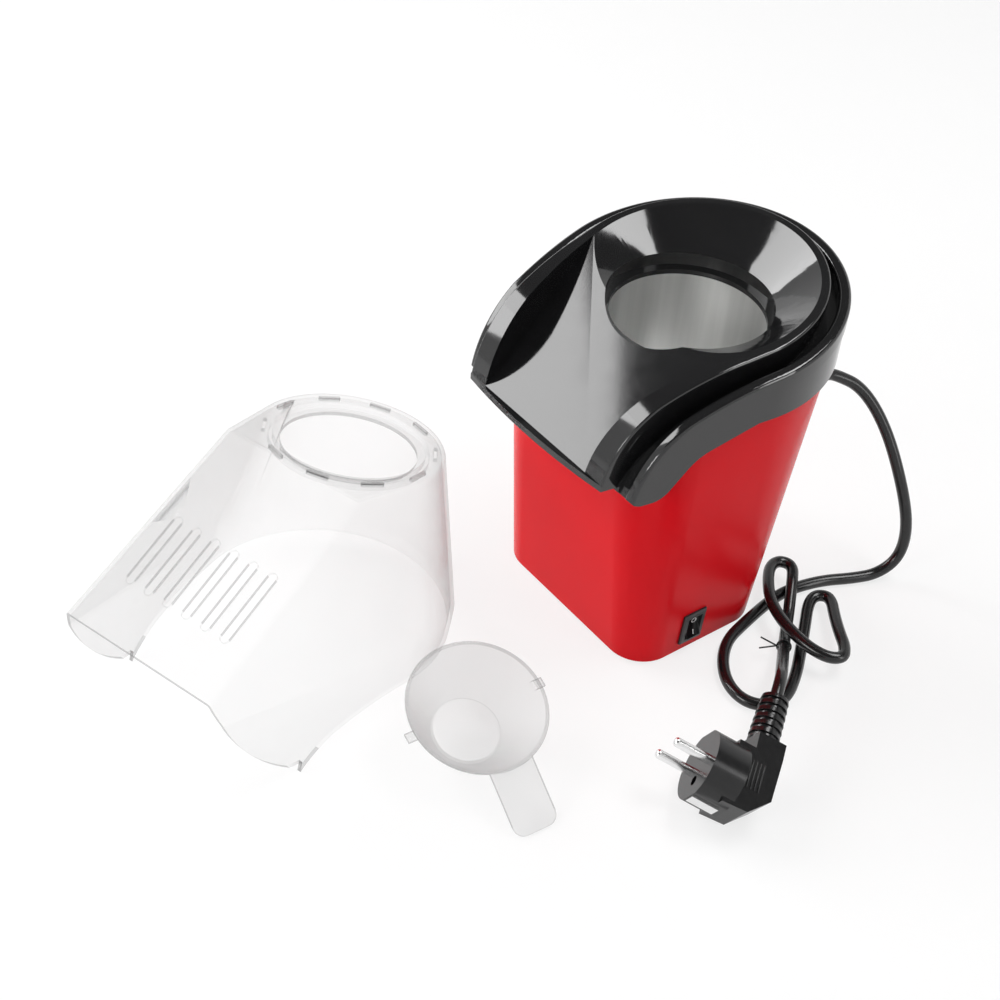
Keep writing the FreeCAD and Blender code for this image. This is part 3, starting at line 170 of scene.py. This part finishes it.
def blackPlastic(name, tone, fine, rough, spread, grain, shine=0.5):
    finish = Finish(name, IOR=1.5, Specular_IOR_Level=shine)
    dark, light = (tone, tone, tone * 1.08), (tone * 1.7, tone * 1.7, tone * 1.8)
    finish.feed(Base_Color=finish.ramp(finish.noise(fine, detail=3), [(0.3, dark), (0.7, light)]))
    finish.feed(Roughness=finish.noise(fine * 8, detail=3) * spread + rough)
    finish.bump(finish.noise(fine * 40), strength=grain, distance=0.00005)
    return finish.material


def spunMetal(name, dark, light, streaks, rough):
    finish = Finish(name, Metallic=1.0)
    lines = finish.noise(60, detail=4, roughness=0.6, stretched=streaks)
    scratches = finish.noise(260, detail=3, roughness=0.6, stretched=streaks)
    finish.feed(Base_Color=finish.ramp(lines, [(0.25, dark), (0.75, light)]))
    finish.feed(Roughness=lines * 0.2 + rough)
    finish.bump(scratches, strength=0.2, distance=0.0003)
    return finish.material


def clearPlastic(name, front, side, least, most, shine=0.2):
    finish = Finish(name, IOR=1.49, Specular_IOR_Level=shine)
    grazing = finish.node("ShaderNodeLayerWeight", None, Blend=0.35, out="Facing")
    cloud = finish.noise(30) * 0.02
    # painted shade: the base colour runs from the front tone on faces seen square-on to the darker side
    # tone on faces seen at a grazing angle, and alpha rises the same way, standing in for how clear
    # plastic darkens and reflects towards its edges
    finish.feed(Base_Color=finish.ramp(grazing, [(0.0, (front,) * 3), (0.85, (side,) * 3)]))
    finish.feed(Alpha=grazing ** 2.5 * (most - least) + cloud + least)
    finish.feed(Roughness=finish.noise(60) * 0.04 + 0.03)
    finish.bump(finish.noise(25), strength=0.03, distance=0.0005)
    return finish.material


def plainMatte(name, dark, light, scale, rough):
    finish = Finish(name, IOR=1.5)
    finish.feed(Base_Color=finish.ramp(finish.noise(scale, detail=4), [(0.3, dark), (0.7, light)]))
    finish.feed(Roughness=finish.noise(scale * 6, detail=3) * 0.15 + rough)
    finish.bump(finish.noise(scale * 20, detail=3), strength=0.15, distance=0.0003)
    return finish.material


finishes = {
    "red_gloss": redGloss("redGloss", dark=(0.63, 0.005, 0.010), light=(0.68, 0.007, 0.013),
                          rough=0.24, spread=0.03, shine=0.08),
    "black_gloss": blackPlastic("blackGloss", tone=0.005, fine=14, rough=0.05, spread=0.05, grain=0.05,
                                shine=0.7),
    "black_matte": blackPlastic("blackSatin", tone=0.012, fine=40, rough=0.34, spread=0.16, grain=0.18),
    "cord_rubber": blackPlastic("cordRubber", tone=0.005, fine=50, rough=0.17, spread=0.1, grain=0.06),
    "clear_plastic": clearPlastic("clearPlastic", front=0.68, side=0.26, least=0.03, most=0.8),
    "chamber_metal": spunMetal("chamberMetal", dark=(0.7, 0.7, 0.69), light=(0.96, 0.96, 0.95),
                               streaks=(1, 1, 0.04), rough=0.3),
    "bright_metal": spunMetal("brightMetal", dark=(0.78, 0.78, 0.78), light=(0.9, 0.9, 0.9),
                              streaks=(1, 1, 1), rough=0.12),
    "motor_steel": spunMetal("motorSteel", dark=(0.45, 0.45, 0.46), light=(0.6, 0.6, 0.61),
                             streaks=(1, 1, 0.2), rough=0.3),
    "heater_wire": spunMetal("heaterWire", dark=(0.24, 0.22, 0.21), light=(0.4, 0.38, 0.36),
                             streaks=(1, 1, 1), rough=0.4),
    "duct_plastic": plainMatte("ductPlastic", dark=(0.66, 0.64, 0.58), light=(0.74, 0.72, 0.66),
                               scale=30, rough=0.5),
    "board": plainMatte("boardLaminate", dark=(0.2, 0.13, 0.06), light=(0.28, 0.2, 0.1),
                        scale=80, rough=0.5),
    "mica": plainMatte("micaSheet", dark=(0.5, 0.42, 0.3), light=(0.68, 0.6, 0.46),
                       scale=60, rough=0.35),
}
slotOf = {row["node"]: row["material_slot"] for row in frame["record"]["subparts"]}
for name, node in nodes.items():
    node.data.materials.clear()
    node.data.materials.append(finishes[slotOf[name]])
whiteInk = plainMatte("whiteInk", dark=(0.78, 0.78, 0.78), light=(0.84, 0.84, 0.84), scale=50, rough=0.5)
# painted shade: a near-black, mostly opaque clear finish for the cut faces and rounded edges of the
# clear pieces, standing in for the dark lines that clear plastic shows along its edges
clearEdgeShade = clearPlastic("clearEdgeShade", front=0.1, side=0.04, least=0.3, most=0.85)
cupPlastic = clearPlastic("cupPlastic", front=0.6, side=0.26, least=0.15, most=0.85)
print("finishes made:", len(finishes))


# how meshes are merged, rounded and shaded: millimetres, degrees and shares
meshing = {"merge": 0.01, "flat": 0.6, "sharp": 32, "smooth": 35, "cutSharp": 40, "cutWidth": 1.2,
           "cutShare": 0.5, "downward": -0.9, "weight": 50}


def onlySelect(piece):
    bpy.ops.object.select_all(action="DESELECT")
    piece.select_set(True)
    bpy.context.view_layer.objects.active = piece


def finishPiece(piece, body):
    onlySelect(piece)
    bpy.ops.object.transform_apply(location=True, rotation=True, scale=True)
    bpy.ops.object.shade_smooth_by_angle(angle=math.radians(meshing["smooth"]))
    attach(piece, body)
    return piece


# mains cord: the route of the solid, in millimetres
cordSettings = {
    "route": [(25, 90.63, 118), (25, 97.63, 118), (26.5, 104.03, 116.5), (36, 118, 108.5),
              (52, 126, 88), (70, 129, 58), (78.5, 132, 33), (80, 130, 13), (76.7, 118, 3.7),
              (71, 103, 3.3), (64.5, 90, 3.3), (60.5, 76, 3.3), (58.5, 61, 3.3),
              (61, 45, 3.3), (65, 28, 3.3), (69.5, 11, 3.3), (79.5, -2, 3.3), (93, -11, 3.3),
              (107, -12.5, 3.3), (117, -5, 3.3), (118.5, 8, 3.3), (109, 24, 3.3),
              (97.5, 38.5, 3.3), (86, 52.5, 3.6), (73.5, 67, 5.4), (72.5, 74.5, 6.6),
              (79, 78.5, 7.4), (92, 68, 9), (104, 59.5, 10.6), (113, 54, 11.6),
              (119, 47, 12.2), (115, 39.5, 12.7), (104.2, 36, 13), (92.6, 36, 13.4),
              (79.3, 38, 13.4), (65.4, 43.8, 13.2), (53, 54, 12.8), (45, 63.5, 12.2),
              (44.5, 71.5, 11.7), (51.5, 75, 11.3), (60, 66.5, 10.4), (68, 58, 6.8),
              (75.5, 50, 3.6), (86, 37.5, 4), (100, 21, 12), (114, 4, 24),
              (124.2, -8.05, 31.68), (130.75, -17.6, 28.55)],
    "diameter": 6.5, "length": 0.705, "roundness": 5, "steps": 10, "order": 3,
}


def makeCord(settings):
    curve = bpy.data.curves.new("mainsCord", "CURVE")
    curve.dimensions = "3D"
    curve.bevel_depth = settings["diameter"] / 2 * mm
    curve.bevel_resolution = settings["roundness"]
    curve.resolution_u = settings["steps"]
    curve.use_fill_caps = True
    spline = curve.splines.new("NURBS")
    spline.points.add(len(settings["route"]) - 1)
    for point, spot in zip(spline.points, settings["route"]):
        point.co = (*(Vector(spot) * mm), 1)
    spline.order_u = settings["order"]
    spline.use_endpoint_u = True
    cord = bpy.data.objects.new("mainsCord", curve)
    bpy.context.scene.collection.objects.link(cord)
    cord.data.materials.append(finishes["cord_rubber"])
    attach(cord, "machine")
    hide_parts("power_cord")
    return cord


mainsCord = makeCord(cordSettings)
print("cord laid:", len(cordSettings["route"]), "points")


# moulded pieces: the solid's mesh, merged, with its sharp edges rounded
def mergedCopy(node, name):
    piece = bpy.data.objects.new(name, nodes[node].data.copy())
    bpy.context.scene.collection.objects.link(piece)
    onlySelect(piece)
    bpy.ops.object.mode_set(mode="EDIT")
    bpy.ops.mesh.select_all(action="SELECT")
    bpy.ops.mesh.remove_doubles(threshold=meshing["merge"] * mm)
    bpy.ops.mesh.dissolve_limited(angle_limit=math.radians(meshing["flat"]))
    bpy.ops.object.mode_set(mode="OBJECT")
    return piece


def roundEdges(piece, settings):
    edge = piece.modifiers.new("edges", "BEVEL")
    edge.width = settings["round"] * mm
    edge.segments = settings.get("segments", 3)
    edge.limit_method = "ANGLE"
    edge.angle_limit = math.radians(meshing["sharp"])
    # bevel faces can take the painted edge shade material slot
    edge.material = settings.get("edgeShadeSlot", -1)
    bpy.ops.object.modifier_apply(modifier=edge.name)


# painted shade: cut faces of clear sheet are given the dark edge material, standing in for how they look
# darker than its broad faces, being narrow with sharp sides;
# the foot's lower face stays as clear as the rest
def darkenCuts(piece, settings):
    piece.data.materials.append(settings["cut"])
    mesh = bmesh.new()
    mesh.from_mesh(piece.data)
    limit = math.radians(meshing["cutSharp"])
    sharp = {edge for edge in mesh.edges if edge.calc_face_angle(0) > limit}
    widest = settings["wall"] * meshing["cutWidth"] * mm
    count = 0
    for face in mesh.faces:
        around = face.calc_perimeter()
        width = 2 * face.calc_area() / around
        share = sum(edge.calc_length() for edge in face.edges if edge in sharp) / around
        if width < widest and share > meshing["cutShare"] and face.normal.z > meshing["downward"]:
            face.material_index = 1
            count += 1
    mesh.to_mesh(piece.data)
    mesh.free()
    print("cut faces on", piece.name, count)


# broad faces keep their own normals, and the narrow ones beside them bend
def evenShading(piece):
    onlySelect(piece)
    weights = piece.modifiers.new("weights", "WEIGHTED_NORMAL")
    weights.mode = "FACE_AREA"
    weights.weight = meshing["weight"]
    weights.keep_sharp = True
    bpy.ops.object.modifier_apply(modifier=weights.name)


# the cord relief keeps its ribs and gets nearly as wide at its end as at its foot
def widenRelief(piece, settings):
    end, way = Vector(settings["end"]) * mm, Vector(settings["way"]).normalized()
    length = settings["length"] * mm
    for vertex in piece.data.vertices:
        along = (vertex.co - end).dot(way)
        axis = end + way * along
        out = vertex.co - axis
        if along > settings["clear"] * mm - length and out.length < settings["reach"] * mm:
            share = 1 + along / length
            vertex.co = axis + out * (settings["foot"] + (settings["tip"] - settings["foot"]) * share)


def mouldedPiece(node, name, body, settings):
    piece = mergedCopy(node, name)
    if "finish" in settings:
        piece.data.materials[0] = settings["finish"]
    if "cut" in settings:
        darkenCuts(piece, settings)
    if "round" in settings:
        roundEdges(piece, settings)
    if "relief" in settings:
        widenRelief(piece, settings["relief"])
    finishPiece(piece, body)
    evenShading(piece)
    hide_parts(node)
    return piece


plugRelief = {"end": (130.75, -17.6, 28.55), "way": (-0.545, 0.797, 0.261), "length": 27.0,
              "clear": 0.5, "reach": 8.0, "foot": 1.12, "tip": 1.45}
# the clear pieces' cut faces, and the cup's rounded edges, take the painted edge shade
clearHood = {"cut": clearEdgeShade, "wall": 2.0}
clearCup = {"cut": clearEdgeShade, "wall": 1.6, "finish": cupPlastic, "round": 0.2, "segments": 1,
            "edgeShadeSlot": 1}
mouldedPieces = {
    "top_cover": ("coverShell", "machine", {"round": 0.6}),
    "housing": ("housingShell", "machine", {"round": 0.5}),
    "switch_frame": ("switchBezel", "machine", {"round": 0.3, "segments": 2}),
    "switch_rocker": ("rockerKey", "rocker", {"round": 0.35, "segments": 2}),
    "plug_body": ("plugMoulding", "machine", {"round": 0.6, "relief": plugRelief}),
    "hood": ("clearHood", "hood", clearHood),
    "measuring_cup": ("clearCup", "measuring_cup", clearCup),
}
dressed = {}
for node, (name, body, settings) in mouldedPieces.items():
    dressed[node] = mouldedPiece(node, name, body, settings)
    print("moulded", name, len(dressed[node].data.polygons), "faces")

# switch marks: a ring on the upper half of the rocker and a bar on the lower half
markSettings = {"from": 90, "across": -9.5, "ringHeight": 22.0, "barHeight": 14.3, "ring": 1.45,
                "line": 0.24, "bar": 3.0, "flatten": 0.5, "round": 0.08}


def onRocker(settings, height):
    bpy.context.view_layer.update()
    start = Vector((settings["from"], settings["across"], height)) * mm
    found, spot, normal, face = dressed["switch_rocker"].ray_cast(start, Vector((-1, 0, 0)))
    return spot, normal.to_track_quat("Z", "Y").to_euler()


def makeMarks(settings):
    spot, turn = onRocker(settings, settings["ringHeight"])
    bpy.ops.object.select_all(action="DESELECT")
    line = settings["line"] * mm
    bpy.ops.mesh.primitive_torus_add(location=spot, rotation=turn, major_radius=settings["ring"] * mm,
                                     minor_radius=line, major_segments=32, minor_segments=8)
    ring = bpy.context.active_object
    ring.name = "rockerMarks"
    ring.scale.z = settings["flatten"]
    spot, turn = onRocker(settings, settings["barHeight"])
    bpy.ops.object.select_all(action="DESELECT")
    bpy.ops.mesh.primitive_cube_add(size=1, location=spot, rotation=turn,
                                    scale=(2 * line, settings["bar"] * mm, line))
    bar = bpy.context.active_object
    onlySelect(bar)
    bpy.ops.object.transform_apply(location=False, rotation=False, scale=True)
    roundEdges(bar, settings)
    ring.select_set(True)
    bpy.context.view_layer.objects.active = ring
    bpy.ops.object.join()
    ring.data.materials.append(whiteInk)
    return finishPiece(ring, "rocker")


makeMarks(markSettings)
print("switch marked")

# grip ribs on the plug's flank, in the plug's own axes
gripSettings = {"base": (140.5, -76.7, 26.2), "forward": (-0.684, -0.603, 0.41),
                "side": (0.484, 0.045, 0.874), "way": plugRelief["way"], "first": -19.5, "pitch": 2.1,
                "count": 5, "out": 11.5, "along": 3.0, "width": 0.9, "rise": 1.0, "length": 15.0,
                "round": 0.3}


def makeGrip(settings):
    base, forward, side, way = (Vector(settings[k]) for k in ("base", "forward", "side", "way"))
    turn = Matrix((forward, side, way)).transposed().to_euler()
    ribs = []
    for count in range(settings["count"]):
        ahead = settings["first"] - settings["pitch"] * count
        spot = base + forward * ahead + side * settings["out"] + way * settings["along"]
        bpy.ops.object.select_all(action="DESELECT")
        bpy.ops.mesh.primitive_cube_add(size=1, location=spot * mm, rotation=turn,
                                        scale=[settings[k] * mm for k in ("width", "rise", "length")])
        rib = bpy.context.active_object
        bpy.ops.object.transform_apply(location=False, rotation=False, scale=True)
        roundEdges(rib, settings)
        ribs.append(rib)
    for rib in ribs:
        rib.select_set(True)
    bpy.context.view_layer.objects.active = ribs[0]
    bpy.ops.object.join()
    ribs[0].name = "plugGrip"
    ribs[0].data.materials.append(finishes["cord_rubber"])
    return finishPiece(ribs[0], "machine")


plugGrip = makeGrip(gripSettings)
print("plug grip made:", gripSettings["count"], "ribs")


# floor, backdrop all round, and light
studio = {"floor": 6.0, "wall": 2.4, "darkTone": 0.86, "lightTone": 0.88, "glow": 0.75, "ambient": 0.15,
          "aim": (0, -0.03, 0.1),
          "lamps": [("keyLamp", (-1.1, -0.62, 0.9), (1.0, 0.9), 20),
                    ("frontLamp", (-0.1, -1.7, 0.75), (0.8, 0.5), 10),
                    ("topLamp", (0.25, 0.55, 1.5), (0.9, 0.5), 12),
                    ("sideLamp", (1.4, 0.5, 0.75), (0.4, 1.0), 5)]}


def makeStudio(settings):
    bpy.ops.object.select_all(action="DESELECT")
    bpy.ops.mesh.primitive_plane_add(size=settings["floor"], location=(0, 0, 0))
    floor = bpy.context.active_object
    floor.name = "floor"
    paper = Finish("paper", Roughness=0.9)
    tones = [(0.3, (settings["darkTone"],) * 3), (0.7, (settings["lightTone"],) * 3)]
    paper.feed(Base_Color=paper.ramp(paper.noise(6), tones))
    rays = paper.tree.nodes.new("ShaderNodeLightPath").outputs
    seen = sum(Wire(paper, rays[kind])
               for kind in ("Is Camera Ray", "Is Glossy Ray", "Is Transmission Ray"))
    glow = paper.node("ShaderNodeEmission", None, Color=(1, 1, 1), Strength=1.0)
    mix = paper.node("ShaderNodeMixShader", None, seen * settings["glow"],
                     Wire(paper, paper.shader.outputs["BSDF"]), glow)
    paper.tree.links.new(mix.socket, paper.output.inputs["Surface"])
    bpy.ops.object.select_all(action="DESELECT")
    bpy.ops.mesh.primitive_cylinder_add(vertices=64, radius=settings["floor"] / 2,
                                        depth=settings["wall"], end_fill_type="NOTHING",
                                        location=(0, 0, settings["wall"] / 2))
    backdrop = bpy.context.active_object
    backdrop.name = "backdrop"
    bpy.ops.object.shade_smooth()
    for piece in (floor, backdrop):
        piece.data.materials.append(paper.material)
    for name, place, size, power in settings["lamps"]:
        lamp = bpy.data.objects.new(name, bpy.data.lights.new(name, "AREA"))
        bpy.context.scene.collection.objects.link(lamp)
        lamp.data.shape = "RECTANGLE"
        lamp.data.size, lamp.data.size_y = size
        lamp.data.energy = power
        lamp.location = place
        ahead = Vector(settings["aim"]) - Vector(place)
        lamp.rotation_euler = ahead.to_track_quat("-Z", "Y").to_euler()
    world = bpy.data.worlds.new("studioWorld")
    world.use_nodes = True
    sky = world.node_tree.nodes["Background"].inputs
    sky["Color"].default_value = (1, 1, 1, 1)
    sky["Strength"].default_value = settings["ambient"]
    bpy.context.scene.world = world
    bpy.context.scene.view_settings.view_transform = "Standard"


makeStudio(studio)
print("studio lit")
